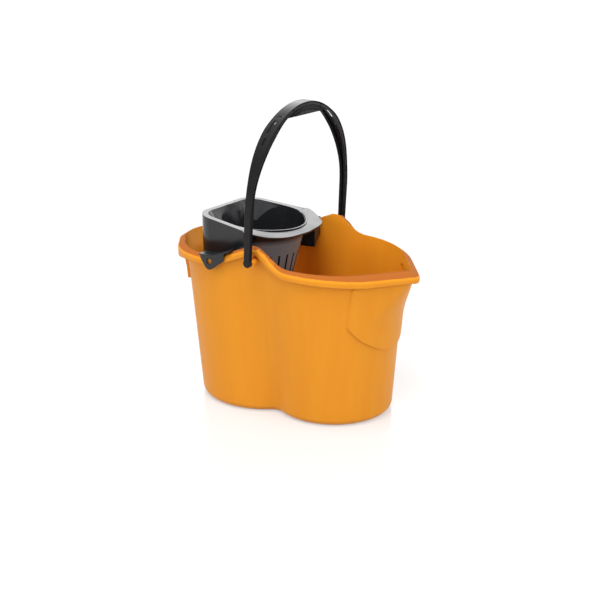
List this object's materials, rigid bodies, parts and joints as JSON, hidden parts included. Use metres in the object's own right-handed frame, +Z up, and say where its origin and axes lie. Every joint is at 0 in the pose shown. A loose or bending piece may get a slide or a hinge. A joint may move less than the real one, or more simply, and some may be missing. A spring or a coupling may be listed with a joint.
{
  "type": "mop bucket with wringer",
  "caption": "Oval household mop bucket with a pouring spout, a lift-out slotted wringer basket resting on the rim and a swinging bail handle.",
  "frame": {"origin": "on the floor under the bucket, on its plane of symmetry, near the handle plane", "axes": "+X along the bucket to the pouring spout, +Z up, +Y across it to the left of the spout"},
  "size_m": [0.4215, 0.273, 0.4703],
  "materials": {
    "orange_plastic": "satin moulded polypropylene",
    "black_plastic": "fine-grained moulded polypropylene",
    "graphite_plastic": "polished moulded polypropylene"
  },
  "bodies": {
    "bucket": {"bucket": "orange_plastic"},
    "carry_handle": {"carry_handle": "black_plastic"},
    "wringer_basket": {"wringer_basket": "graphite_plastic"}
  },
  "joints": [
    {"name": "handle_swing", "type": "hinge", "parent": "bucket", "child": "carry_handle", "pos_m": [-0.003, 0, 0.2525], "axis": [0, 1, 0], "range_deg": [-89.6, 86.8]},
    {"name": "wringer_lift", "type": "slide", "parent": "bucket", "child": "wringer_basket", "axis": [0, 0, 1], "range_m": [0, 0.15]}
  ]
}
